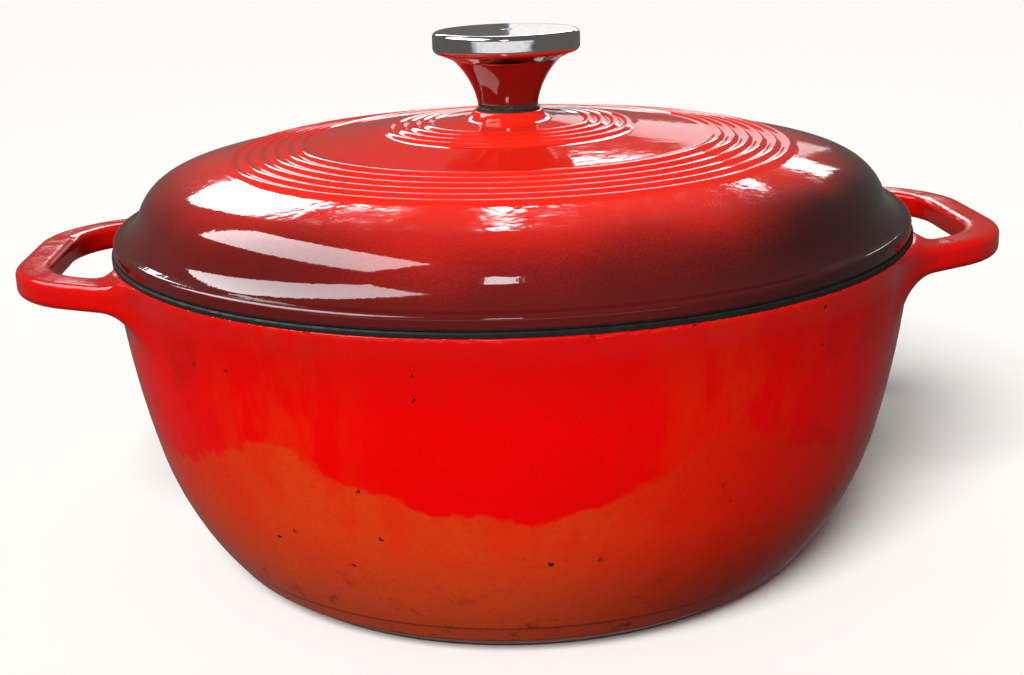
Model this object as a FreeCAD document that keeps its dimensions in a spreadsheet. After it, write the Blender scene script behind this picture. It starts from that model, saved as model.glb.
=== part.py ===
"""Enamelled cast iron dutch oven with a lift-off lid, built as separate real pieces.

Millimetres, +Z up. The origin is the centre of the foot ring's standing face, and the two loop
handles lie along X. The driving dimensions are in the spreadsheet, and outer sizes are those of the
fired enamel, so a casting is smaller by the coat's thickness.
"""
import FreeCAD, Part
import math
import os
import Sketcher

DRIVING_DIMENSIONS = [
    ("coat", 0.4),
    ("iron_wall", 4.0),
    # pot outside
    ("foot_radius", 103.8),
    ("foot_edge_height", 0.6),
    ("recess_radius", 94.0),
    ("recess_height", 1.6),
    ("lower_crease_radius", 111.8),
    ("lower_crease_height", 6.2),
    ("upper_crease_radius", 116.9),
    ("upper_crease_height", 13.0),
    ("belly_radius", 133.6),
    ("belly_height", 51.0),
    ("belly_arc", 114.0),
    ("side_arc", 340.0),
    ("rim_radius", 143.2),
    ("rim_height", 117.0),
    ("colour_edge_height", 115.4),
    ("rim_chamfer", 0.5),
    # pot inside
    ("floor_height", 7.2),
    ("floor_radius", 97.0),
    ("floor_arc", 20.0),
    ("cove_radius", 111.6),
    ("cove_height", 17.0),
    # loop handles
    ("handle_tip", 175.6),
    ("handle_root", 108.0),
    ("handle_root_half", 73.9),
    ("handle_tip_half", 39.8),
    ("handle_corner", 39.9),
    ("handle_bar", 12.3),
    ("handle_top", 113.2),
    ("handle_thick", 9.1),
    ("handle_flare", 26.0),
    ("flare_start", 139.5),
    ("handle_round", 2.4),
    # lid
    ("seat_gap", 0.3),
    ("lip_radius", 142.5),
    ("lip_height", 120.2),
    ("lip_round", 1.6),
    ("ledge_radius", 139.0),
    ("ledge_height", 122.2),
    ("dome_foot_radius", 133.0),
    ("dome_foot_height", 129.4),
    ("dome_foot_arc", 13.0),
    ("shoulder_radius", 120.0),
    ("shoulder_height", 140.4),
    ("shoulder_arc", 17.8),
    ("outer_ring_radius", 102.6),
    ("outer_ring_height", 144.2),
    ("band_outer_radius", 73.0),
    ("band_outer_height", 148.6),
    ("band_inner_radius", 46.1),
    ("band_inner_height", 151.8),
    ("inner_ring_radius", 27.1),
    ("inner_ring_height", 153.8),
    ("ring_arc", 3.4),
    ("boss_radius", 12.4),
    ("boss_height", 158.0),
    ("boss_foot_radius", 17.2),
    ("boss_foot_height", 154.9),
    ("boss_arc", 7.0),
    ("lid_skin", 4.8),
    ("hub_radius", 16.0),
    ("hub_height", 149.8),
    ("under_shoulder_radius", 118.6),
    ("under_shoulder_height", 135.7),
    ("under_foot_radius", 128.6),
    ("under_foot_height", 127.4),
    ("under_arc", 13.5),
    ("locator_inner", 131.6),
    ("locator_outer", 136.2),
    ("locator_depth", 112.4),
    ("lid_edge_height", 117.8),
    ("inner_edge_height", 120.0),
    # knob and fastening
    ("gasket_radius", 11.4),
    ("gasket_thick", 0.8),
    ("knob_base_radius", 10.9),
    ("knob_waist_height", 160.8),
    ("knob_stem_top_radius", 19.4),
    ("knob_stem_top_height", 176.4),
    ("knob_stem_arc", 30.0),
    ("knob_cap_radius", 26.5),
    ("knob_cap_under_radius", 24.2),
    ("knob_cap_under_height", 178.6),
    ("knob_cap_low_height", 180.8),
    ("knob_cap_low_arc", 2.4),
    ("knob_cap_round", 1.9),
    ("knob_height", 186.6),
    ("screw_radius", 3.0),
    ("screw_clearance", 0.05),
    ("screw_hole_radius", 3.4),
    ("insert_corner_radius", 6.0),
    ("insert_length", 12.0),
    ("washer_radius", 7.0),
    ("washer_thick", 1.4),
    ("lock_washer_radius", 5.4),
    ("lock_washer_thick", 1.6),
    ("screw_head_radius", 5.6),
    ("screw_head_thick", 3.6),
    ("screw_length", 20.0),
    ("recess_length", 6.0),
    ("recess_width", 1.1),
    ("recess_depth", 1.8),
]
OUTER_RINGS = 6
INNER_RINGS = 4

doc = FreeCAD.newDocument("DutchOven")
sheet = doc.addObject("Spreadsheet::Sheet", "Sizes")
for row, (alias, number) in enumerate(DRIVING_DIMENSIONS, start=1):
    sheet.set(f"A{row}", alias)
    sheet.set(f"B{row}", str(number))
    sheet.setAlias(f"B{row}", alias)
doc.recompute()


class Size:
    """A length that keeps its number and the spreadsheet formula behind it together."""

    def __init__(self, number, formula):
        self.number = number
        self.formula = formula

    def combine(self, sign, other):
        if not isinstance(other, Size):
            other = Size(other, str(other))
        number = self.number + other.number if sign == "+" else self.number - other.number
        return Size(number, f"({self.formula} {sign} {other.formula})")

    def __add__(self, other):
        return self.combine("+", other)

    def __sub__(self, other):
        return self.combine("-", other)

    def __neg__(self):
        return Size(-self.number, f"(-1 * {self.formula})")

    def __mul__(self, factor):
        return Size(self.number * factor, f"({self.formula} * {factor})")


def size(alias):
    return Size(float(getattr(sheet, alias)), f"Sizes.{alias}")


ZERO = Size(0.0, "0")
COAT = size("coat")


def bind(feature, **properties):
    """Set each property from a Size, and tie it to the spreadsheet."""
    for name, length in properties.items():
        setattr(feature, name, length.number)
        feature.setExpression(name, length.formula)


# ---------------------------------------------------------------- sketches

def arc_between(start, end, radius, bulge):
    """The short arc from start to end, bulging to the left (1) or to the right (-1)."""
    chord = end - start
    side = FreeCAD.Vector(-chord.y, chord.x, 0).normalize() * bulge
    drop = math.sqrt(radius ** 2 - (chord.Length / 2) ** 2)
    centre = (start + end) * 0.5 - side * drop
    first = math.atan2(start.y - centre.y, start.x - centre.x)
    last = math.atan2(end.y - centre.y, end.x - centre.x)
    if bulge == 1:
        first, last = last, first
    circle = Part.Circle(centre, FreeCAD.Vector(0, 0, 1), radius)
    return Part.ArcOfCircle(circle, first, last if last > first else last + 2 * math.pi)


def draw(sketch, outline):
    """Add one closed outline of (x, y) or (x, y, arc radius, bulge) corners, tied to the sheet."""
    corners = [FreeCAD.Vector(step[0].number, step[1].number, 0) for step in outline]
    first_edge = sketch.GeometryCount
    ends = []
    for number, step in enumerate(outline):
        start, end = corners[number - 1], corners[number]
        if len(step) == 2:
            sketch.addGeometry(Part.LineSegment(start, end))
            ends.append((1, 2))
            continue
        radius, bulge = step[2:]
        sketch.addGeometry(arc_between(start, end, radius.number, bulge))
        ends.append((2, 1) if bulge == 1 else (1, 2))
        fixed = sketch.addConstraint(Sketcher.Constraint("Radius", first_edge + number, radius.number))
        sketch.setExpression(f"Constraints[{fixed}]", radius.formula)
    for number, step in enumerate(outline):
        edge = first_edge + number
        following = (number + 1) % len(outline)
        sketch.addConstraint(Sketcher.Constraint(
            "Coincident", edge, ends[number][1], first_edge + following, ends[following][0]))
        for kind, length in (("DistanceX", step[0]), ("DistanceY", step[1])):
            fixed = sketch.addConstraint(Sketcher.Constraint(
                kind, -1, 1, edge, ends[number][1], length.number))
            sketch.setExpression(f"Constraints[{fixed}]", length.formula)


def new_sketch(body, plane, name, *outlines):
    sketch = body.newObject("Sketcher::SketchObject", name)
    origin_plane = next(item for item in body.Origin.OriginFeatures if item.Role == plane)
    sketch.AttachmentSupport = [(origin_plane, "")]
    sketch.MapMode = "FlatFace"
    for outline in outlines:
        draw(sketch, outline)
    return sketch


def turned(label, *outlines):
    """A body made by turning a closed section about the vertical axis."""
    body = doc.addObject("PartDesign::Body", label)
    sketch = new_sketch(body, "XZ_Plane", label + "_section", *outlines)
    revolution = body.newObject("PartDesign::Revolution", label + "_turned")
    revolution.Profile = sketch
    revolution.ReferenceAxis = (sketch, ["V_Axis"])
    revolution.Angle = 360.0
    doc.recompute()
    return body


def joined(label, *pieces):
    fuse = doc.addObject("Part::MultiFuse", label)
    fuse.Shapes = list(pieces)
    fuse.Refine = True
    return fuse


def cut(label, base, tool):
    feature = doc.addObject("Part::Cut", label)
    feature.Base = base
    feature.Tool = tool
    return feature


def cylinder(label, radius, height, bottom):
    feature = doc.addObject("Part::Cylinder", label)
    bind(feature, Radius=radius, Height=height)
    feature.setExpression("Placement.Base.z", bottom.formula)
    return feature


# ---------------------------------------------------------------- pot

def above_colour_edge(radius, top):
    """The plain upright end of the wall, if the wall goes on above the colour's edge."""
    if top.number > size("colour_edge_height").number:
        return [(radius, top)]
    return []


def pot_outside(grow, sole, top):
    """Foot and wall as one solid: the sole's corners, then up the wall, grown from the enamel face."""
    rim = size("rim_radius") + grow
    return sole + [
        (size("lower_crease_radius") + grow, size("lower_crease_height")),
        (size("upper_crease_radius") + grow, size("upper_crease_height")),
        (size("belly_radius") + grow, size("belly_height"), size("belly_arc"), -1),
        (rim, size("colour_edge_height"), size("side_arc"), -1),
        *above_colour_edge(rim, top),
        (ZERO, top),
    ]


def iron_sole():
    """The standing ring, with the base raised a little inside it."""
    outer = size("foot_radius") - COAT
    return [
        (ZERO, size("recess_height")),
        (size("recess_radius"), size("recess_height")),
        (size("recess_radius"), ZERO),
        (outer, ZERO),
        (outer, size("foot_edge_height")),
    ]


def enamel_sole():
    """The enamel starts just above the standing face, which is left bare."""
    within_ring = size("recess_radius") + 2
    return [
        (ZERO, size("recess_height") + 1),
        (within_ring, size("recess_height") + 1),
        (within_ring, size("foot_edge_height")),
        (size("foot_radius"), size("foot_edge_height")),
    ]


def pot_inside(shrink, top):
    """The hollow of the pot, from the floor up to top, enlarged from the enamel face by shrink."""
    inner_wall = size("iron_wall") + COAT * 2 - shrink
    rim = size("rim_radius") - inner_wall
    return [
        (ZERO, size("floor_height") - shrink),
        (size("floor_radius"), size("floor_height") - shrink),
        (size("cove_radius") + shrink, size("cove_height") - shrink, size("floor_arc"), -1),
        (size("belly_radius") - inner_wall, size("belly_height"), size("belly_arc"), -1),
        (rim, size("colour_edge_height"), size("side_arc"), -1),
        *above_colour_edge(rim, top),
        (ZERO, top),
    ]


def rim_section():
    """The black coat that wraps the top of the wall, where both colour coats stop."""
    outer = size("rim_radius")
    inner = outer - size("iron_wall") - COAT * 2
    top = size("rim_height")
    low = size("colour_edge_height")
    chamfer = size("rim_chamfer")
    return [
        (outer, low),
        (outer, top - chamfer),
        (outer - chamfer, top),
        (inner + chamfer, top),
        (inner, top - chamfer),
        (inner, low),
        (inner + COAT, low),
        (inner + COAT, top - COAT),
        (outer - COAT, top - COAT),
        (outer - COAT, low),
    ]


def edges_of(body, wanted):
    """The names of the body's edges that pass the test."""
    return [f"Edge{number}" for number, edge in enumerate(body.Shape.Edges, start=1) if wanted(edge)]


def near(value, length, slack=0.01):
    return abs(value - length.number) < slack


def upright_at(length):
    """A test for vertical edges at one distance along X."""
    def wanted(edge):
        start, end = edge.Vertexes[0].Point, edge.Vertexes[-1].Point
        return near(start.x, length) and near(end.x, length) and near(start.y - end.y, ZERO)
    return wanted


def ends_pass(test):
    """A test for edges whose ends both pass the point test."""
    return lambda edge: all(test(vertex.Point) for vertex in edge.Vertexes)


def round_edges(body, name, wanted, radius):
    before = body.Tip
    names = edges_of(body, wanted)
    fillet = body.newObject("PartDesign::Fillet", name)
    fillet.Base = (before, names)
    bind(fillet, Radius=radius)
    doc.recompute()


def handle(label, grow):
    """The loop handle on the +X side: a flat bar round a finger gap, flared down at its roots."""
    tip = size("handle_tip") + grow
    inner_tip = size("handle_tip") - size("handle_bar") - grow
    root = size("handle_root")
    root_half = size("handle_root_half") + grow
    tip_half = size("handle_tip_half") + grow
    top = size("handle_top") + grow
    under = size("handle_top") - size("handle_thick") - grow
    slope = (root_half.number - tip_half.number) / (tip.number - root.number)
    slant = math.sqrt(1 + slope ** 2)
    bar = size("handle_bar") + grow * 2
    gap_root = root_half - bar * slant
    gap_tip = tip_half - bar * slant + bar * slope
    body = doc.addObject("PartDesign::Body", label)
    outer = [(root, -root_half), (tip, -tip_half), (tip, tip_half), (root, root_half)]
    gap = [(root + 1, -gap_root), (inner_tip, -gap_tip), (inner_tip, gap_tip), (root + 1, gap_root)]
    pad = body.newObject("PartDesign::Pad", label + "_bar")
    pad.Profile = new_sketch(body, "XY_Plane", label + "_plan", outer, gap)
    bind(pad, Length=top)
    doc.recompute()
    corner = size("handle_corner") + grow
    round_edges(body, label + "_outer_corners", upright_at(tip), corner)
    round_edges(body, label + "_gap_corners", upright_at(inner_tip), corner - bar)
    flare = size("handle_flare")
    underside = [
        (root - 1, ZERO - 1),
        (tip + 5, ZERO - 1),
        (tip + 5, under),
        (size("flare_start"), under),
        (size("flare_start") - flare, under - flare, flare, -1),
        (root - 1, under - flare),
    ]
    relief = body.newObject("PartDesign::Pocket", label + "_relief")
    relief.Profile = new_sketch(body, "XZ_Plane", label + "_underside", underside)
    relief.Type = "ThroughAll"
    relief.SideType = "Symmetric"
    doc.recompute()
    rounding = size("handle_round") + grow
    clear_of_root = root.number + 2
    low_end = under.number - flare.number + 1
    round_edges(body, label + "_top_round", ends_pass(
        lambda point: near(point.z, top) and point.x > clear_of_root), rounding)
    beneath = ends_pass(lambda point: low_end < point.z <= under.number + 0.01)
    seam = ends_pass(lambda point: near(point.x, size("flare_start")))
    round_edges(body, label + "_under_round", lambda edge: beneath(edge) and not seam(edge), rounding)
    return body


def both_handles(label, grow):
    right = handle(label + "_right", grow)
    left = doc.addObject("Part::Mirroring", label + "_left")
    left.Source = right
    left.Normal = FreeCAD.Vector(1, 0, 0)
    return [right, left]


def build_pot():
    top = size("rim_height")
    iron_wall = turned("iron_outside", pot_outside(-COAT, iron_sole(), top - COAT))
    iron = joined("iron_with_handles", iron_wall, *both_handles("iron_handle", -COAT))
    iron_hollow = turned("iron_hollow", pot_inside(COAT, top + 1))
    casting = cut("pot_casting", iron, iron_hollow)

    edge = size("colour_edge_height")
    enamel_wall = turned("enamel_outside", pot_outside(ZERO, enamel_sole(), edge))
    enamel = joined("enamel_with_handles", enamel_wall, *both_handles("enamel_handle", ZERO))
    exterior = cut("pot_exterior_enamel", enamel, iron)

    coated_hollow = turned("coated_hollow", pot_inside(COAT, edge))
    clear_hollow = turned("clear_hollow", pot_inside(ZERO, edge + 1))
    interior = cut("pot_interior_enamel", coated_hollow, clear_hollow)

    rim = turned("pot_rim_enamel", rim_section())
    base = cylinder("pot_base_enamel", size("recess_radius"), COAT, size("recess_height") - COAT)
    return [casting, exterior, interior, rim, base]


# ---------------------------------------------------------------- lid

def ridges(count, inner_radius, inner_height, outer_radius, outer_height, shift):
    """Concentric ridges side by side on the slope between two circles, as corners with arcs."""
    corners = []
    for number in range(1, count + 1):
        share = number / count
        radius = inner_radius * (1 - share) + outer_radius * share
        height = inner_height * (1 - share) + outer_height * share
        corners.append((radius, height + shift, size("ring_arc"), 1))
    return corners


def lid_top(shift, low):
    """The lid's upper face from the screw hole out to the lip, and down to low."""
    lip = size("lip_radius") + shift
    hole = size("screw_hole_radius")
    inner = size("inner_ring_radius"), size("inner_ring_height")
    band = size("band_inner_radius"), size("band_inner_height")
    outer_band = size("band_outer_radius"), size("band_outer_height")
    outer = size("outer_ring_radius"), size("outer_ring_height")
    return [
        (hole, low),
        (hole, size("boss_height") + shift),
        (size("boss_radius") + shift, size("boss_height") + shift),
        (size("boss_foot_radius") + shift, size("boss_foot_height") + shift, size("boss_arc"), -1),
        (inner[0], inner[1] + shift),
        *ridges(INNER_RINGS, *inner, *band, shift),
        (outer_band[0], outer_band[1] + shift),
        *ridges(OUTER_RINGS, *outer_band, *outer, shift),
        (size("shoulder_radius"), size("shoulder_height") + shift),
        (size("dome_foot_radius") + shift, size("dome_foot_height"), size("shoulder_arc"), 1),
        (size("ledge_radius"), size("ledge_height") + shift, size("dome_foot_arc"), -1),
        (lip - size("lip_round"), size("lip_height") + size("lip_round") + shift),
        (lip, size("lip_height") + shift, size("lip_round"), 1),
        (lip, low),
    ]


def lid_under(thin, low):
    """The hollow under the lid, from the hub out to the locating rim and down to low."""
    hole = size("screw_hole_radius")
    skin = size("lid_skin") - thin
    return [
        (hole, low),
        (hole, size("hub_height") + thin),
        (size("hub_radius"), size("hub_height") + thin),
        (size("band_inner_radius"), size("band_inner_height") - skin),
        (size("band_outer_radius"), size("band_outer_height") - skin),
        (size("outer_ring_radius"), size("outer_ring_height") - skin),
        (size("under_shoulder_radius"), size("under_shoulder_height") + thin),
        (size("under_foot_radius") + thin, size("under_foot_height"), size("under_arc"), 1),
        (size("locator_inner") + thin, size("inner_edge_height") + 1),
        (size("locator_inner") + thin, low),
    ]


def lid_rim_section():
    """The black coat on the lip's underside and round the locating rim."""
    lip = size("lip_radius")
    seat = size("rim_height") + size("seat_gap")
    outer = size("locator_outer")
    inner = size("locator_inner")
    low = size("locator_depth")
    return [
        (lip, seat),
        (lip, size("lid_edge_height")),
        (lip - COAT, size("lid_edge_height")),
        (lip - COAT, seat + COAT),
        (outer - COAT, seat + COAT),
        (outer - COAT, low + COAT),
        (inner + COAT, low + COAT),
        (inner + COAT, size("inner_edge_height")),
        (inner, size("inner_edge_height")),
        (inner, low),
        (outer, low),
        (outer, seat),
    ]


def build_lid():
    seat = size("rim_height") + size("seat_gap") + COAT
    low = size("locator_depth") + COAT
    plate = turned("lid_plate", lid_top(-COAT, seat))
    hollow = turned("lid_hollow", lid_under(COAT, low - 1))
    locator = turned("lid_locator", [
        (size("locator_inner") + COAT, low),
        (size("locator_outer") - COAT, low),
        (size("locator_outer") - COAT, seat + 2),
        (size("locator_inner") + COAT, seat + 2),
    ])
    casting = cut("lid_casting", joined("lid_blank", plate, locator), hollow)

    edge = size("lid_edge_height")
    enamel_plate = turned("enamel_plate", lid_top(ZERO, edge))
    iron_plate = turned("iron_plate", lid_top(-COAT, edge - 1))
    exterior = cut("lid_exterior_enamel", enamel_plate, iron_plate)

    inner_edge = size("inner_edge_height")
    iron_under = turned("iron_under", lid_under(COAT, inner_edge))
    clear_under = turned("clear_under", lid_under(ZERO, inner_edge - 1))
    interior = cut("lid_interior_enamel", iron_under, clear_under)

    rim = turned("lid_rim_enamel", lid_rim_section())
    return [casting, exterior, interior, rim]


# ---------------------------------------------------------------- knob and its fastening

def knob_section():
    """A trumpet: narrow at its base, flaring into a thick flat cap."""
    foot = size("boss_height") + size("gasket_thick")
    cap = size("knob_cap_radius")
    rounding = size("knob_cap_round")
    return [
        (ZERO, foot),
        (size("knob_base_radius"), foot),
        (size("knob_base_radius"), size("knob_waist_height")),
        (size("knob_stem_top_radius"), size("knob_stem_top_height"), size("knob_stem_arc"), 1),
        (size("knob_cap_under_radius"), size("knob_cap_under_height")),
        (cap, size("knob_cap_low_height"), size("knob_cap_low_arc"), -1),
        (cap, size("knob_height") - rounding),
        (cap - rounding, size("knob_height"), rounding, -1),
        (ZERO, size("knob_height")),
    ]


def ring(label, outer, inner, thick, bottom):
    """A flat ring: a disc with a through hole."""
    disc = cylinder(label + "_disc", outer, thick, bottom)
    hole = cylinder(label + "_hole", inner, thick + 2, bottom - 1)
    return cut(label, disc, hole)


def box_across(label, length, width, height, bottom):
    """A box centred on the axis, long in X."""
    box = doc.addObject("Part::Box", label)
    bind(box, Length=length, Width=width, Height=height)
    box.setExpression("Placement.Base.x", (length * -0.5).formula)
    box.setExpression("Placement.Base.y", (width * -0.5).formula)
    box.setExpression("Placement.Base.z", bottom.formula)
    return box


def hex_bar(label, height, bottom):
    bar = doc.addObject("Part::Prism", label)
    bar.Polygon = 6
    bind(bar, Circumradius=size("insert_corner_radius"), Height=height)
    bar.setExpression("Placement.Base.z", bottom.formula)
    return bar


def build_knob():
    foot = size("boss_height") + size("gasket_thick")
    hub = size("hub_height")
    hole = size("screw_hole_radius")
    gasket = ring("knob_gasket", size("gasket_radius"), hole, size("gasket_thick"), size("boss_height"))
    blank = turned("knob_blank", knob_section())
    knob = cut("knob", blank, hex_bar("insert_socket", size("insert_length"), foot))
    thread = cylinder("insert_thread", size("screw_radius") + size("screw_clearance"),
                      size("insert_length") + 2, foot - 1)
    insert = cut("knob_insert", hex_bar("insert_blank", size("insert_length"), foot), thread)

    washer_low = hub - size("washer_thick")
    washer = ring("flat_washer", size("washer_radius"), hole, size("washer_thick"), washer_low)
    lock_low = washer_low - size("lock_washer_thick")
    coil = ring("lock_coil", size("lock_washer_radius"), hole, size("lock_washer_thick"), lock_low)
    split = box_across("lock_split", size("lock_washer_radius") * 2, size("recess_width"),
                       size("lock_washer_thick") + 2, lock_low - 1)
    split.setExpression("Placement.Base.x", "0")
    lock_washer = cut("lock_washer", coil, split)

    head_low = lock_low - size("screw_head_thick")
    head = cylinder("screw_head", size("screw_head_radius"), size("screw_head_thick"), head_low)
    shank = cylinder("screw_shank", size("screw_radius"), size("screw_length"), lock_low)
    slot_one = box_across("slot_one", size("recess_length"), size("recess_width"),
                          size("recess_depth") + 1, head_low - 1)
    slot_two = box_across("slot_two", size("recess_width"), size("recess_length"),
                          size("recess_depth") + 1, head_low - 1)
    screw = cut("knob_screw", joined("screw_blank", head, shank), joined("slots", slot_one, slot_two))
    return [knob, insert, gasket, screw, washer, lock_washer]


# ---------------------------------------------------------------- checks and export

def check_document():
    doc.recompute()
    for item in doc.Objects:
        if "Invalid" in item.State or "Error" in item.State:
            raise RuntimeError(f"{item.Label} failed: {item.State}")


def export(pieces):
    os.makedirs("parts", exist_ok=True)
    for piece in pieces:
        shape = piece.Shape
        if shape.isNull() or not shape.isValid() or not shape.Solids:
            raise RuntimeError(f"{piece.Label} has no valid solid")
        shape.exportStep(f"parts/{piece.Label}.step")
        box = shape.BoundBox
        print(f"{piece.Label}: {len(shape.Solids)} solid, {shape.Volume / 1000:.2f} cm3, "
              f"z {box.ZMin:.2f} to {box.ZMax:.2f}, x {box.XMin:.2f} to {box.XMax:.2f}")


kept = build_pot() + build_lid() + build_knob()
check_document()
export(kept)
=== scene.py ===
import itertools
import math

import bpy
import numpy as np
from mathutils import Matrix, Vector


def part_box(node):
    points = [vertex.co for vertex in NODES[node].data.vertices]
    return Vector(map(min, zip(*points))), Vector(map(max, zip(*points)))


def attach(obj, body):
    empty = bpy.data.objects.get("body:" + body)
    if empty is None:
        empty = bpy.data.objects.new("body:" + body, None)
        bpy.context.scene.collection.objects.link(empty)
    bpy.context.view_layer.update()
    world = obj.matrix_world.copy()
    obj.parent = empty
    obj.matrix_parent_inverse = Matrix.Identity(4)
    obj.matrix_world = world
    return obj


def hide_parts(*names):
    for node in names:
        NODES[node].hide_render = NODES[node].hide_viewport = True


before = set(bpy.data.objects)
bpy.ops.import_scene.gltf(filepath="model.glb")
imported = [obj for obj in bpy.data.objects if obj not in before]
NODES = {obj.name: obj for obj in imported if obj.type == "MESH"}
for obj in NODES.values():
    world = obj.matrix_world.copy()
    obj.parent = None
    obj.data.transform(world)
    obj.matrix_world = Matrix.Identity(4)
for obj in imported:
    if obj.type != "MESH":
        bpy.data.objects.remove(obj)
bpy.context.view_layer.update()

MM = 0.001

# ---------------------------------------------------------------- sizes read from the frame

POT_LOW, POT_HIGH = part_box("pot_exterior_enamel")
LID_LOW, LID_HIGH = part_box("lid_exterior_enamel")
KNOB_LOW, KNOB_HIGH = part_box("knob")

COLOUR_EDGE = POT_HIGH.z
FOOT_EDGE = POT_LOW.z
RIM_RADIUS = POT_HIGH.y
HANDLE_TIP = POT_HIGH.x
LIP_RADIUS = LID_HIGH.y
LID_EDGE = LID_LOW.z
BOSS_TOP = LID_HIGH.z
CAP_RADIUS = KNOB_HIGH.x


# ---------------------------------------------------------------- outlines

def arc(start, end, radius, bulge, steps=24):
    """Points after start and up to end on a short arc that bulges to the left (1) or right (-1)."""
    start, end = np.array(start, float), np.array(end, float)
    chord = end - start
    length = math.hypot(*chord)
    side = np.array((-chord[1], chord[0])) / length * bulge
    centre = (start + end) / 2 - side * math.sqrt(radius ** 2 - length ** 2 / 4)
    first, last = (math.atan2(*(point - centre)[::-1]) for point in (start, end))
    turn = (last - first + math.pi) % (2 * math.pi) - math.pi
    angles = first + turn * np.arange(1, steps + 1) / steps
    return [tuple(centre + radius * np.array((math.cos(a), math.sin(a)))) for a in angles]


def straight(start, end, steps=12):
    return [tuple(np.array(start) + (np.array(end) - np.array(start)) * n / steps)
            for n in range(1, steps + 1)]


def outline(start, *runs):
    """Chain of points: each run is (end,) for a straight run or (end, radius, bulge) for an arc."""
    points = [start]
    for run in runs:
        make = straight if len(run) == 1 else arc
        points += make(points[-1], *run)
    return points


FOOT_RADIUS = 103.8 * MM
LOWER_CREASE = (111.8 * MM, 6.2 * MM)
UPPER_CREASE = (116.9 * MM, 13.0 * MM)
BELLY = (133.6 * MM, 51.0 * MM)
BELLY_CURVE = 114.0 * MM
SIDE_CURVE = 340.0 * MM

WALL = np.array(outline(
    (FOOT_RADIUS, FOOT_EDGE),
    (LOWER_CREASE,),
    (UPPER_CREASE,),
    (BELLY, BELLY_CURVE, -1),
    ((RIM_RADIUS, COLOUR_EDGE), SIDE_CURVE, -1),
))


# ---------------------------------------------------------------- meshes

def new_piece(name, vertices, faces, body, *replaced):
    mesh = bpy.data.meshes.new(name)
    mesh.from_pydata(vertices, [], faces)
    mesh.update()
    mesh.polygons.foreach_set("use_smooth", [True] * len(mesh.polygons))
    piece = bpy.data.objects.new(name, mesh)
    bpy.context.scene.collection.objects.link(piece)
    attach(piece, body)
    if replaced:
        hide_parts(*replaced)
    return piece


def turned(points, segments, wobble=None):
    """Vertices and faces of a closed outline of (radius, height) points turned about the axis."""
    angles = np.linspace(0, 2 * math.pi, segments, endpoint=False)
    radius, height = np.array(points).T
    grid = np.stack(np.broadcast_arrays(
        radius[:, None] * np.cos(angles), radius[:, None] * np.sin(angles), height[:, None]), -1)
    if wobble is not None:
        grid[..., 2] += wobble(radius[:, None], angles)
    rows, columns = np.meshgrid(np.arange(len(points)), np.arange(segments), indexing="ij")
    next_row, next_column = (rows + 1) % len(points), (columns + 1) % segments
    corner = rows * segments + columns
    right = rows * segments + next_column
    above = next_row * segments + columns
    across = next_row * segments + next_column
    faces = np.stack((corner, right, across, above), -1).reshape(-1, 4)
    return grid.reshape(-1, 3).tolist(), faces.tolist()


def surface_net(distance, low, high, pitch):
    """A quad mesh of the surface where distance(x, y, z) is zero, pulled exactly onto it."""
    axes = [np.arange(a, b + pitch, pitch, dtype=np.float32) for a, b in zip(low, high)]
    inside = distance(*np.meshgrid(*axes, indexing="ij", sparse=True)) < 0
    spans = [slice(0, -1), slice(1, None)]
    count = sum(inside[i, j, k].astype(np.uint8) for i, j, k in itertools.product(spans, repeat=3))
    mixed = (count > 0) & (count < 8)
    index = np.full(mixed.shape, -1, np.int32)
    index[mixed] = np.arange(mixed.sum())
    points = np.argwhere(mixed) * pitch + np.array(low) + pitch / 2
    faces = []
    for axis in range(3):
        order = axis, (axis + 1) % 3, (axis + 2) % 3
        solid = np.moveaxis(inside, order, (0, 1, 2))
        cells = np.moveaxis(index, order, (0, 1, 2))
        here, there = solid[:-1, 1:-1, 1:-1], solid[1:, 1:-1, 1:-1]
        i, j, k = np.nonzero(here != there)
        quad = np.stack([cells[i, j + a, k + b] for a, b in ((0, 0), (1, 0), (1, 1), (0, 1))], -1)
        flip = ~here[i, j, k]
        quad[flip] = quad[flip][:, ::-1]
        faces.append(quad)
    return pull_onto(distance, points), np.concatenate(faces)


def pull_onto(distance, points, probe=0.05 * MM, rounds=5, gentlest=0.1):
    """Newton steps along the gradient until every point lies on the surface."""
    for _ in range(rounds):
        value = distance(*points.T)
        slope = np.stack([
            (distance(*(points + step).T) - distance(*(points - step).T)) / (2 * probe)
            for step in np.eye(3) * probe], -1)
        steep = np.maximum((slope ** 2).sum(-1), gentlest)
        points = points - np.clip(value / steep, -MM, MM)[:, None] * slope
    return points


# ---------------------------------------------------------------- pot, as distances

HANDLE_ROOT = 108.0 * MM
HANDLE_ROOT_HALF = 73.9 * MM
HANDLE_TIP_HALF = 39.8 * MM
HANDLE_CORNER = 39.9 * MM
HANDLE_BAR = 12.3 * MM
HANDLE_TOP = 113.2 * MM
HANDLE_UNDER = 104.1 * MM
HANDLE_ROUND = 2.4 * MM
FLARE_START = 139.5 * MM
FLARE_RADIUS = 26.0 * MM
LEAST_LEAN = 0.3
ROOT_BLEND = 9.0 * MM
SHELL = 2.2 * MM
EDGE_ROUND = 0.5 * MM
NET_PITCH = 1.2 * MM
NET_MARGIN = 3 * MM


def wall_distance(x, y, z):
    radius = np.sqrt(x ** 2 + y ** 2)
    slope = np.gradient(WALL[:, 0], WALL[:, 1])
    lean = 1 / np.sqrt(1 + np.interp(z, WALL[:, 1], slope) ** 2)
    return (radius - np.interp(z, WALL[:, 1], WALL[:, 0])) * lean


def rounded_meet(one, other, rounding):
    """The solid common to two others, with the edge between them rounded."""
    a, b = one + rounding, other + rounding
    outside = np.sqrt(np.maximum(a, 0) ** 2 + np.maximum(b, 0) ** 2)
    return np.minimum(np.maximum(a, b), 0) + outside - rounding


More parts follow.
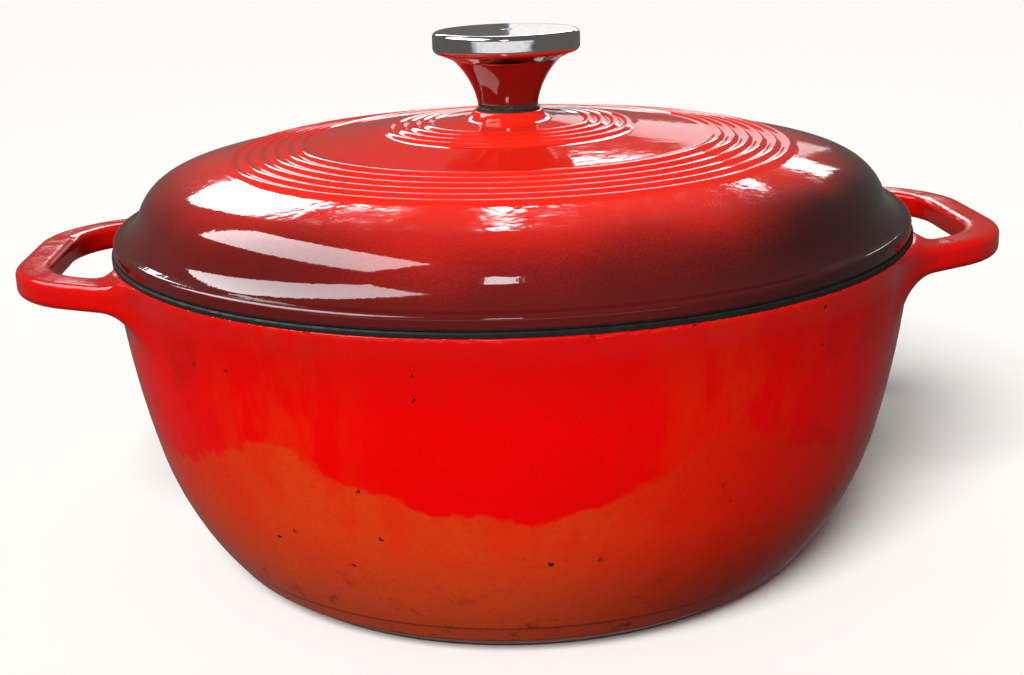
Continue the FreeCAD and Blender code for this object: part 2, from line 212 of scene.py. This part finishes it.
def blended_join(one, other, blend):
    """The solid of two others, with a smooth root where they join."""
    share = np.clip(0.5 + 0.5 * (other - one) / blend, 0, 1)
    return other * (1 - share) + one * share - blend * share * (1 - share)


def handle_outline_distance(x, y):
    """Distance in plan to the outer outline: a trapezoid with two rounded corners at its tip."""
    x, y = np.abs(x), np.abs(y)
    side = math.atan2(HANDLE_ROOT_HALF - HANDLE_TIP_HALF, HANDLE_TIP - HANDLE_ROOT)
    normal = (math.sin(side), math.cos(side))
    reach = normal[0] * HANDLE_TIP + normal[1] * HANDLE_TIP_HALF
    centre_x = HANDLE_TIP - HANDLE_CORNER
    centre_y = (reach - HANDLE_CORNER - normal[0] * centre_x) / normal[1]
    from_tip = x - HANDLE_TIP
    from_side = normal[0] * x + normal[1] * y - reach
    dx, dy = x - centre_x, y - centre_y
    in_corner = (dy > 0) & (dx * normal[1] > dy * normal[0])
    return np.where(in_corner, np.sqrt(dx ** 2 + dy ** 2) - HANDLE_CORNER,
                    np.maximum(from_tip, from_side))


def handle_distance(x, y, z):
    bar = np.abs(handle_outline_distance(x, y) + HANDLE_BAR / 2) - HANDLE_BAR / 2
    inward = np.clip(FLARE_START - np.abs(x), 0, FLARE_RADIUS)
    under = HANDLE_UNDER - FLARE_RADIUS + np.sqrt(FLARE_RADIUS ** 2 - inward ** 2)
    lean = np.sqrt(1 - (inward / FLARE_RADIUS) ** 2)
    upright = np.maximum(z - HANDLE_TOP, (under - z) * np.maximum(lean, LEAST_LEAN))
    return rounded_meet(bar, upright, HANDLE_ROUND)


def pot_shell_distance(x, y, z):
    solid = blended_join(wall_distance(x, y, z), handle_distance(x, y, z), ROOT_BLEND)
    skin = np.abs(solid + SHELL / 2) - SHELL / 2
    ends = np.maximum(z - COLOUR_EDGE, FOOT_EDGE - z)
    return rounded_meet(skin, ends, EDGE_ROUND)


def make_pot_enamel():
    low = (-HANDLE_TIP - NET_MARGIN, -RIM_RADIUS - NET_MARGIN, FOOT_EDGE - NET_MARGIN)
    high = (HANDLE_TIP + NET_MARGIN, RIM_RADIUS + NET_MARGIN, COLOUR_EDGE + NET_MARGIN)
    points, faces = surface_net(pot_shell_distance, low, high, NET_PITCH)
    return new_piece("pot_red_enamel", points.tolist(), faces.tolist(), "pot",
                     "pot_exterior_enamel")


# ---------------------------------------------------------------- lid

COAT = 0.4 * MM
BORE = 3.4 * MM
BOSS = (12.4 * MM, BOSS_TOP)
BOSS_FOOT = (17.2 * MM, 154.9 * MM)
BOSS_COVE = 7.0 * MM
INNER_RING = (27.1 * MM, 153.8 * MM)
BAND_INNER = (46.1 * MM, 151.8 * MM)
BAND_OUTER = (73.0 * MM, 148.6 * MM)
OUTER_RING = (102.6 * MM, 144.2 * MM)
SHOULDER = (120.0 * MM, 140.4 * MM)
DOME_FOOT = (133.0 * MM, 129.4 * MM)
DOME_ROUND = 17.8 * MM
LEDGE = (139.0 * MM, 122.2 * MM)
LEDGE_COVE = 13.0 * MM
LIP_ROUND = 1.6 * MM
LIP_TOP = 121.8 * MM
LIP_SIDE = 140.5 * MM
RIDGE_HEIGHT = 0.95 * MM
RIDGE_SHARPNESS = 1.3
INNER_RIDGES = 4
OUTER_RIDGES = 6
UNEVENNESS = 0.045 * MM
LID_SEGMENTS = 512


def ridged(start, end, count, steps_each=14):
    """The slope between two circles with rounded concentric ridges on it."""
    run = []
    for point in straight(start, end, count * steps_each):
        share = (point[0] - start[0]) / (end[0] - start[0])
        rise = abs(math.sin(math.pi * count * share)) ** RIDGE_SHARPNESS
        run.append((point[0], point[1] + RIDGE_HEIGHT * rise))
    return run


def lid_face():
    points = outline((BORE, BOSS_TOP), (BOSS,), (BOSS_FOOT, BOSS_COVE, -1), (INNER_RING,))
    points += ridged(INNER_RING, BAND_INNER, INNER_RIDGES)
    points += straight(BAND_INNER, BAND_OUTER)
    points += ridged(BAND_OUTER, OUTER_RING, OUTER_RIDGES)
    lip_side = (LIP_RADIUS, LIP_TOP - LIP_ROUND)
    return points + outline(
        OUTER_RING,
        (SHOULDER,),
        (DOME_FOOT, DOME_ROUND, 1),
        (LEDGE, LEDGE_COVE, -1),
        ((LIP_RADIUS - LIP_ROUND, LIP_TOP),),
        (lip_side, LIP_ROUND, 1),
        ((LIP_RADIUS, LID_EDGE),),
    )[1:]


def hand_finish(radius, angle):
    """The slight unevenness of a ground sand casting, at most a tenth of a millimetre."""
    reach = np.clip(radius / LIP_RADIUS, 0, 1)
    waves = (np.sin(3 * angle + 0.7) + 0.6 * np.sin(7 * angle + 2.1 + 9 * reach)
             + 0.4 * np.sin(13 * angle - 21 * reach))
    return UNEVENNESS * waves * reach * (1 - reach ** 8)


def make_lid_enamel():
    """The coat's back is one coat below its face on the top, and one coat inside it on the lip."""
    face = lid_face()
    back = [(max(radius - COAT * (radius > SHOULDER[0]), BORE), height - COAT * (radius < LIP_SIDE))
            for radius, height in reversed(face)]
    vertices, faces = turned(face + back, LID_SEGMENTS, hand_finish)
    return new_piece("lid_burgundy_enamel", vertices, [face[::-1] for face in faces], "lid",
                     "lid_exterior_enamel")


# ---------------------------------------------------------------- knob

KNOB_BASE = 10.9 * MM
KNOB_WAIST = (KNOB_BASE, 160.8 * MM)
KNOB_STEM_TOP = (19.4 * MM, 176.4 * MM)
STEM_FLARE = 30.0 * MM
CAP_UNDER = (24.2 * MM, 178.6 * MM)
CAP_FLARE = 2.4 * MM
CAP_LOW = (CAP_RADIUS, 180.8 * MM)
CAP_ROUND = 1.9 * MM
SOCKET = (6.2 * MM, 171.0 * MM)
CENTRE_DIMPLE = 0.3 * MM
DIMPLE_DROP = 0.02 * MM
KNOB_SEGMENTS = 192


def make_knob():
    """A trumpet turned in one piece round its socket, with a fine lathe centre in the cap."""
    points = outline(
        (SOCKET[0], KNOB_LOW.z),
        ((KNOB_BASE, KNOB_LOW.z),),
        (KNOB_WAIST,),
        (KNOB_STEM_TOP, STEM_FLARE, 1),
        (CAP_UNDER,),
        (CAP_LOW, CAP_FLARE, -1),
        ((CAP_RADIUS, KNOB_HIGH.z - CAP_ROUND),),
        ((CAP_RADIUS - CAP_ROUND, KNOB_HIGH.z), CAP_ROUND, -1),
        ((CENTRE_DIMPLE, KNOB_HIGH.z - DIMPLE_DROP),),
        ((CENTRE_DIMPLE, SOCKET[1]),),
        (SOCKET,),
    )
    vertices, faces = turned(points, KNOB_SEGMENTS)
    return new_piece("knob_steel", vertices, faces, "lid", "knob")


# ---------------------------------------------------------------- materials

class Shader:
    """A principled material with short calls for the texture nodes that feed it."""

    def __init__(self, name, **sockets):
        self.material = bpy.data.materials.new(name)
        self.material.use_nodes = True
        self.tree = self.material.node_tree
        self.surface = self.tree.nodes["Principled BSDF"]
        self.place = self.node("ShaderNodeTexCoord").outputs["Object"]
        for socket, value in sockets.items():
            self.surface.inputs[socket.replace("_", " ")].default_value = value

    def node(self, kind, inputs=(), **settings):
        node = self.tree.nodes.new(kind)
        for name, value in settings.items():
            setattr(node, name, value)
        for socket, value in dict(inputs).items():
            if isinstance(value, bpy.types.NodeSocket):
                self.tree.links.new(value, node.inputs[socket])
            else:
                node.inputs[socket].default_value = value
        return node

    def noise(self, scale, detail, stretch=(1, 1, 1), rough=0.5):
        place = self.node("ShaderNodeMapping", {"Vector": self.place, "Scale": stretch})
        return self.node("ShaderNodeTexNoise", {
            "Vector": place.outputs[0], "Scale": scale, "Detail": detail,
            "Roughness": rough}).outputs["Fac"]

    def gloss(self, scale, detail, smooth, dull, spread=(0.3, 0.7)):
        """Roughness that wanders from smooth to dull with a noise."""
        wander = self.ramp_value(self.noise(scale, detail), *spread, smooth, dull)
        self.use("Roughness", wander)

    def chips(self, scale, rarity):
        """Small ragged spots, one in a few cells of a Voronoi pattern."""
        crumple = self.node("ShaderNodeTexNoise", {
            "Vector": self.place, "Scale": scale * 3.0, "Detail": 3.0})
        moved = self.node("ShaderNodeVectorMath", {
            0: crumple.outputs["Color"], 1: (0.5, 0.5, 0.5)}, operation="SUBTRACT")
        moved = self.node("ShaderNodeVectorMath", {
            0: moved.outputs[0], "Scale": 0.9 / scale}, operation="SCALE")
        place = self.node("ShaderNodeVectorMath", {
            0: self.place, 1: moved.outputs[0]}, operation="ADD")
        cells = self.node("ShaderNodeTexVoronoi", {"Vector": place.outputs[0], "Scale": scale})
        pick = self.node("ShaderNodeSeparateColor", {0: cells.outputs["Color"]}).outputs[0]
        chosen = self.ramp_value(pick, rarity, rarity + 0.01)
        return self.math("MULTIPLY", chosen, self.ramp_value(cells.outputs["Distance"], 0.34, 0.22))

    def math(self, operation, first, second=0.0):
        return self.node("ShaderNodeMath", {0: first, 1: second}, operation=operation).outputs[0]

    def jitter(self, value, noise, amount):
        """The value made uneven by a noise that swings it through this amount in all."""
        swing = self.math("MULTIPLY", self.math("SUBTRACT", noise, 0.5), amount)
        return self.math("ADD", value, swing)

    def ramp_value(self, value, low, high, out_low=0.0, out_high=1.0):
        """value from low to high becomes out_low to out_high, smoothly, and stays there beyond."""
        return self.node("ShaderNodeMapRange", {
            "Value": value, "From Min": low, "From Max": high, "To Min": out_low,
            "To Max": out_high}, interpolation_type="SMOOTHSTEP").outputs[0]

    def mix(self, share, first, second):
        node = self.node("ShaderNodeMix", data_type="RGBA")
        for socket, value in ((0, share), (6, first), (7, second)):
            if isinstance(value, bpy.types.NodeSocket):
                self.tree.links.new(value, node.inputs[socket])
            elif socket == 0:
                node.inputs[socket].default_value = value
            else:
                node.inputs[socket].default_value = (*value, 1.0)
        return node.outputs[2]

    def split(self):
        return self.node("ShaderNodeSeparateXYZ", {0: self.place}).outputs

    def radius(self):
        x, y, _ = self.split()
        square = self.math("ADD", self.math("MULTIPLY", x, x), self.math("MULTIPLY", y, y))
        return self.math("SQRT", square)

    def use(self, socket, value):
        self.tree.links.new(value, self.surface.inputs[socket])

    def bump(self, *layers):
        """Each layer is (height, depth in metres); they add up."""
        normal = None
        for height, depth in layers:
            inputs = {"Height": height, "Distance": depth, "Strength": 1.0}
            if normal is not None:
                inputs["Normal"] = normal
            normal = self.node("ShaderNodeBump", inputs).outputs[0]
        self.use("Normal", normal)


# The second red on the next line is the orange tint between the scallops, partly painted
# reflection.
CLEAR_RED, TINTED_RED = (0.83, 0.0006, 0.0006), (0.76, 0.017, 0.001)
# The darker red on the next line, the second of the two, is painted shade: the lid's shadow on the
# wall just under it.
BLOTCH_RED, LID_SHADOW_RED = (0.30, 0.006, 0.004), (0.42, 0.004, 0.003)
# The two oranges on the next line are partly the coat's own colour and partly a painted reflection
# of a warm table; the foot one is darker as painted shade.
SHADED_FOOT_ORANGE, WALL_ORANGE_AND_REFLECTION = (0.62, 0.062, 0.014), (0.74, 0.028, 0.004)
# The two reds on the next line are painted shade for the +X side, away from the light: red without
# the painted reflection, darker at the foot.
SHADE_SIDE_FOOT_RED, SHADE_SIDE_WALL_RED = (0.42, 0.016, 0.001), (0.74, 0.009, 0.001)
STREAK_ORANGE = (0.66, 0.060, 0.008)
GRAIN, GRIME = (0.30, 0.010, 0.002), (0.10, 0.018, 0.006)
CREASE_DIRT, BARE_IRON = (0.13, 0.012, 0.002), (0.030, 0.012, 0.010)
LID_RED = (0.84, 0.016, 0.006)
# The second colour on the next line is painted shade for the lid's +X side, away from the light.
BURGUNDY, SHADED_BURGUNDY = (0.100, 0.005, 0.005), (0.026, 0.003, 0.003)

SCALLOPS = 6
SCALLOP_PHASE = 0.314
HEM_TOP = 80.0 * MM
HEM_DROP = 23.0 * MM


def scallops(shader, x, y):
    """1 down the middle of each scallop of the red coat, and 0 at the cusps between them."""
    turn = shader.math("ARCTAN2", x, shader.math("MULTIPLY", y, -1.0))
    wave = shader.math("ADD", shader.math("MULTIPLY", turn, SCALLOPS / 2), SCALLOP_PHASE)
    return shader.math("ABSOLUTE", shader.math("COSINE", wave))


def red_share(shader, lobes, z):
    """1 above the scalloped hem and 0 below it, with a ragged edge."""
    hem = shader.math("ADD", shader.math("MULTIPLY", lobes, -HEM_DROP), HEM_TOP)
    above = shader.math("SUBTRACT", z, hem)
    above = shader.jitter(above, shader.noise(95.0, 5.0, rough=0.62), 14.0 * MM)
    above = shader.jitter(above, shader.noise(17.0, 3.0), 12.0 * MM)
    return shader.ramp_value(above, -1.2 * MM, 1.6 * MM)


def red_coat(shader, lobes, streaks, x):
    """Clear red, orange-tinted and streaky between the scallops, partly painted reflection like the
    orange below, and blotched toward the handles.
    """
    between_lobes = shader.ramp_value(lobes, 0.15, 0.85, 0.85, 0.0)
    tinted = shader.math("MULTIPLY", between_lobes, streaks)
    red = shader.mix(tinted, CLEAR_RED, TINTED_RED)
    blotches = shader.ramp_value(shader.noise(38.0, 6.0, rough=0.7), 0.50, 0.66, 0.0, 0.40)
    toward_handle = shader.ramp_value(shader.math("ABSOLUTE", x), 30.0 * MM, 120.0 * MM)
    return shader.mix(shader.math("MULTIPLY", blotches, toward_handle), red, BLOTCH_RED)


def orange_coat_and_painted_light(shader, streaks, x, z):
    """Streaky orange, partly the coat's own colour and partly a painted reflection of a warm table,
    browner toward the foot as painted shade, and on the +X side, away from the light, redder where
    the painted reflection is left out and darker at the foot as painted shade.
    """
    out_of_foot_shade = shader.ramp_value(z, 12.0 * MM, 60.0 * MM)
    orange = shader.mix(out_of_foot_shade, SHADED_FOOT_ORANGE, WALL_ORANGE_AND_REFLECTION)
    orange = shader.mix(shader.math("MULTIPLY", streaks, 0.5), orange, STREAK_ORANGE)
    # Painted shade on the +X side, darker still toward the foot.
    shade_side = shader.mix(out_of_foot_shade, SHADE_SIDE_FOOT_RED, SHADE_SIDE_WALL_RED)
    return shader.mix(shader.ramp_value(x, -20.0 * MM, 70.0 * MM), orange, shade_side)


def soiled(shader, colour, z):
    """The colour with fine grain all over, grime near the foot and dirt in the two creases."""
    grain = shader.ramp_value(shader.noise(650.0, 5.0, rough=0.75), 0.52, 0.75, 0.0, 0.42)
    colour = shader.mix(grain, colour, GRAIN)
    near_foot = shader.ramp_value(z, 44.0 * MM, 8.0 * MM)
    grime = shader.ramp_value(shader.noise(85.0, 6.0, rough=0.75), 0.54, 0.70)
    colour = shader.mix(shader.math("MULTIPLY", grime, near_foot), colour, GRIME)
    for _, crease_height in (LOWER_CREASE, UPPER_CREASE):
        off_crease = shader.math("ABSOLUTE", shader.math("SUBTRACT", z, crease_height))
        line = shader.ramp_value(off_crease, 0.9 * MM, 0.2 * MM, 0.0, 0.6)
        colour = shader.mix(line, colour, CREASE_DIRT)
    return colour


def red_enamel():
    """Glossy red over an orange lower zone, partly the coat's own colour and partly a painted
    reflection of a warm table, whose edge hangs in scallops round the pot.
    """
    shader = Shader("red_enamel")
    x, y, z = shader.split()
    lobes = scallops(shader, x, y)
    drips = shader.noise(70.0, 4.0, stretch=(1, 1, 0.35), rough=0.6)
    streaks = shader.ramp_value(drips, 0.40, 0.62)
    # Below the scalloped hem the orange is partly a painted reflection of a warm table.
    orange = orange_coat_and_painted_light(shader, streaks, x, z)
    colour = shader.mix(red_share(shader, lobes, z), orange, red_coat(shader, lobes, streaks, x))
    # Painted shadow of the lid: the wall darkens toward the rim from 82 mm up, handle tops
    # included.
    under_lid_shadow = shader.ramp_value(z, 82.0 * MM, 112.0 * MM, 0.0, 0.5)
    colour = soiled(shader, shader.mix(under_lid_shadow, colour, LID_SHADOW_RED), z)
    at_edge = shader.ramp_value(z, COLOUR_EDGE - 1.6 * MM, COLOUR_EDGE - 0.6 * MM)
    chips = shader.math("MULTIPLY", shader.chips(310.0, 0.93), at_edge)
    pits = shader.math("MAXIMUM", shader.chips(190.0, 0.990), shader.chips(340.0, 0.988))
    worn = shader.math("MAXIMUM", chips, pits)
    shader.use("Base Color", shader.mix(worn, colour, BARE_IRON))
    shader.use("Specular IOR Level", shader.ramp_value(z, 104.0 * MM, 112.5 * MM, 0.07, 0.28))
    shader.gloss(120.0, 4.0, 0.09, 0.20)
    runs = shader.noise(45.0, 3.0, stretch=(1, 1, 0.4))
    peel = shader.noise(260.0, 2.0)
    shader.bump((runs, 0.55 * MM), (peel, 0.10 * MM), (worn, -0.12 * MM))
    return shader.material


def burgundy_enamel():
    """Bright red in the middle, sprayed over to burgundy at the lip; toward +X, the side away from
    the light, it goes on to near black and the dark reaches further in, which is painted shade.
    """
    shader = Shader("burgundy_enamel", Specular_IOR_Level=0.5)
    x = shader.split()[0]
    reach = shader.jitter(shader.radius(), shader.noise(16.0, 2.0), 22.0 * MM)
    reach = shader.jitter(reach, shader.noise(2400.0, 2.0, rough=0.7), 20.0 * MM)
    # Painted shade: on the +X side the dark starts up to 9 mm further in.
    reach = shader.math("ADD", reach, shader.ramp_value(x, 20.0 * MM, 120.0 * MM, 0.0, 9.0 * MM))
    sprayed = shader.ramp_value(reach, 105.0 * MM, 138.0 * MM)
    # Painted shade: the burgundy darkens to near black toward +X.
    shade_toward_right = shader.ramp_value(x, 0.0, 110.0 * MM)
    burgundy = shader.mix(shade_toward_right, BURGUNDY, SHADED_BURGUNDY)
    shader.use("Base Color", shader.mix(sprayed, LID_RED, burgundy))
    shader.gloss(150.0, 4.0, 0.03, 0.08)
    shader.bump((shader.noise(70.0, 3.0), 0.12 * MM), (shader.noise(300.0, 2.0), 0.03 * MM))
    return shader.material


def cream_enamel():
    shader = Shader("cream_enamel", Specular_IOR_Level=0.5)
    colour = shader.mix(shader.noise(25.0, 5.0), (0.80, 0.74, 0.62), (0.72, 0.65, 0.52))
    shader.use("Base Color", colour)
    shader.gloss(120.0, 4.0, 0.12, 0.30)
    shader.bump((shader.noise(200.0, 2.0), 0.04 * MM))
    return shader.material


def black_enamel():
    shader = Shader("black_enamel", Specular_IOR_Level=0.2)
    colour = shader.mix(shader.noise(400.0, 4.0), (0.006, 0.006, 0.006), (0.020, 0.018, 0.017))
    shader.use("Base Color", colour)
    shader.gloss(300.0, 3.0, 0.45, 0.7)
    shader.bump((shader.noise(500.0, 4.0), 0.08 * MM))
    return shader.material


def grey_iron():
    shader = Shader("grey_iron", Metallic=0.35)
    colour = shader.mix(shader.noise(350.0, 5.0), (0.055, 0.052, 0.050), (0.12, 0.10, 0.085))
    shader.use("Base Color", colour)
    shader.gloss(200.0, 4.0, 0.5, 0.75)
    shader.bump((shader.noise(600.0, 5.0), 0.15 * MM))
    return shader.material


def polished_steel():
    shader = Shader("polished_steel", Metallic=1.0)
    colour = shader.mix(shader.noise(60.0, 3.0), (0.66, 0.66, 0.67), (0.58, 0.58, 0.59))
    # Below the cap the steel is painted dark red: a painted reflection of the shaded lid in the
    # stem.
    cap_above_painted_reflection = shader.ramp_value(shader.split()[2], 179.0 * MM, 180.2 * MM)
    shader.use("Base Color", shader.mix(cap_above_painted_reflection, (0.24, 0.20, 0.20), colour))
    shader.gloss(500.0, 5.0, 0.04, 0.11, spread=(0.35, 0.65))
    shader.bump((shader.noise(45.0, 2.0), 0.05 * MM))
    return shader.material


def plain_metal(name, tone, dull):
    shader = Shader(name, Metallic=1.0)
    darker = tuple(part * 0.75 for part in tone)
    shader.use("Base Color", shader.mix(shader.noise(400.0, 4.0), tone, darker))
    shader.gloss(700.0, 3.0, dull, dull + 0.12)
    shader.bump((shader.noise(900.0, 3.0), 0.02 * MM))
    return shader.material


def gasket_rubber():
    shader = Shader("gasket_rubber")
    colour = shader.mix(shader.noise(600.0, 3.0), (0.012, 0.012, 0.012), (0.03, 0.03, 0.03))
    shader.use("Base Color", colour)
    shader.gloss(500.0, 3.0, 0.6, 0.8)
    shader.bump((shader.noise(800.0, 3.0), 0.03 * MM))
    return shader.material


def paint(material, *pieces):
    for piece in pieces:
        piece.data.materials.clear()
        piece.data.materials.append(material)


# ---------------------------------------------------------------- camera, light and floor

CAMERA_DISTANCE = 0.5277
CAMERA_HEIGHT = 0.2342
CAMERA_PITCH = math.radians(14.59)
CAMERA_ROLL = math.radians(-1.78)
CAMERA_TURN = math.radians(-3.74)
CAMERA_LENS = 51.43
CAMERA_SHIFT = (-0.00127, -0.0637)


def make_camera():
    data = bpy.data.cameras.new("camera")
    data.sensor_width = 36.0
    data.lens = CAMERA_LENS
    data.shift_x, data.shift_y = CAMERA_SHIFT
    data.clip_start = 0.01
    camera = bpy.data.objects.new("camera", data)
    tilt = Matrix.Rotation(math.pi / 2 - CAMERA_PITCH, 4, "X")
    roll = Matrix.Rotation(CAMERA_ROLL, 4, "Z")
    place = Matrix.Translation((0, -CAMERA_DISTANCE, CAMERA_HEIGHT))
    camera.matrix_world = Matrix.Rotation(CAMERA_TURN, 4, "Z") @ place @ tilt @ roll
    bpy.context.scene.collection.objects.link(camera)
    bpy.context.scene.camera = camera


LIGHT_AIM = Vector((0, 0, 110.0 * MM))
DAYLIGHT_DISTANCE = 3.0
WINDOW_DISTANCE = 1.5
WINDOWS = (
    # name, bearing, elevation, width, height, slant, brightness; angles in degrees
    ("left_window", -167, 27, 21, 8, -45, 9),
    ("right_window", 169, 30.5, 24, 10, 38, 9),
    ("small_window", 157, 17, 7, 4, 0, 6),
    ("pale_wall", 166, 12, 20, 10, 0, 1.0),
    ("skylight", -86, 47, 62, 25, 8, 9),
    ("glint", -7, 27, 9, 7, 0, 14),
    ("front_card", -10, 0, 96, 10, 0, 1.1),
)


def aimed(data, bearing, elevation, distance):
    """Hang a light round the pot: bearing is in degrees from the front, positive to the right."""
    turn, rise = math.radians(bearing), math.radians(elevation)
    level = math.cos(rise)
    away = Vector((math.sin(turn) * level, -math.cos(turn) * level, math.sin(rise)))
    light = bpy.data.objects.new(data.name, data)
    place = Matrix.Translation(LIGHT_AIM + away * distance)
    light.matrix_world = place @ away.to_track_quat("Z", "Y").to_matrix().to_4x4()
    bpy.context.scene.collection.objects.link(light)
    return light


def daylight(bearing, elevation, strength):
    """The broad light that shades the forms and shows no outline in the glaze."""
    data = bpy.data.lights.new("daylight", "SUN")
    data.energy = strength
    data.angle = math.radians(28)
    data.color = (1.0, 0.985, 0.96)
    aimed(data, bearing, elevation, DAYLIGHT_DISTANCE).visible_glossy = False


def window(name, bearing, elevation, width, height, slant, brightness):
    """A panel that only shows as a reflection; its width, height and slant are in degrees."""
    data = bpy.data.lights.new(name, "AREA")
    data.shape = "RECTANGLE"
    data.size = 2 * WINDOW_DISTANCE * math.tan(math.radians(width) / 2)
    data.size_y = 2 * WINDOW_DISTANCE * math.tan(math.radians(height) / 2)
    data.energy = brightness * math.pi * data.size * data.size_y
    data.color = (0.97, 0.98, 1.0)
    panel = aimed(data, bearing, elevation, WINDOW_DISTANCE)
    panel.matrix_world = panel.matrix_world @ Matrix.Rotation(math.radians(slant), 4, "Z")
    panel.visible_diffuse = False


def make_floor():
    """A pale floor that takes the shadow but throws no colour or reflection back at the pot."""
    reach = 6.0
    mesh = bpy.data.meshes.new("floor")
    corners = [(-reach, -reach, 0), (reach, -reach, 0), (reach, reach, 0), (-reach, reach, 0)]
    mesh.from_pydata(corners, [], [(0, 1, 2, 3)])
    floor = bpy.data.objects.new("floor", mesh)
    bpy.context.scene.collection.objects.link(floor)
    shader = Shader("pale_floor", Roughness=0.8, Specular_IOR_Level=0.1)
    tone = shader.mix(shader.noise(3.0, 2.0), (0.97, 0.97, 0.97), (0.96, 0.96, 0.96))
    shader.use("Base Color", tone)
    paint(shader.material, floor)
    floor.visible_diffuse = False
    floor.visible_glossy = False


def make_light():
    world = bpy.data.worlds.new("studio")
    world.use_nodes = True
    background = world.node_tree.nodes["Background"]
    background.inputs["Color"].default_value = (1.0, 0.94, 0.86, 1)
    background.inputs["Strength"].default_value = 0.15
    bpy.context.scene.world = world
    daylight(bearing=-22, elevation=41, strength=4.3)
    for panel in WINDOWS:
        window(*panel)
    bpy.context.scene.view_settings.view_transform = "Standard"


# ---------------------------------------------------------------- build

make_camera()
make_light()
make_floor()
CREAM, BLACK, IRON = cream_enamel(), black_enamel(), grey_iron()
SCREW_STEEL = plain_metal("screw_steel", (0.62, 0.62, 0.63), 0.25)
BRASS = plain_metal("brass", (0.72, 0.52, 0.24), 0.3)
paint(red_enamel(), make_pot_enamel())
paint(burgundy_enamel(), make_lid_enamel())
paint(polished_steel(), make_knob())
paint(CREAM, NODES["pot_interior_enamel"], NODES["lid_interior_enamel"])
paint(BLACK, NODES["pot_rim_enamel"], NODES["pot_base_enamel"], NODES["lid_rim_enamel"])
paint(IRON, NODES["pot_casting"], NODES["lid_casting"])
paint(SCREW_STEEL, NODES["knob_screw"], NODES["flat_washer"], NODES["lock_washer"])
paint(BRASS, NODES["knob_insert"])
paint(gasket_rubber(), NODES["knob_gasket"])
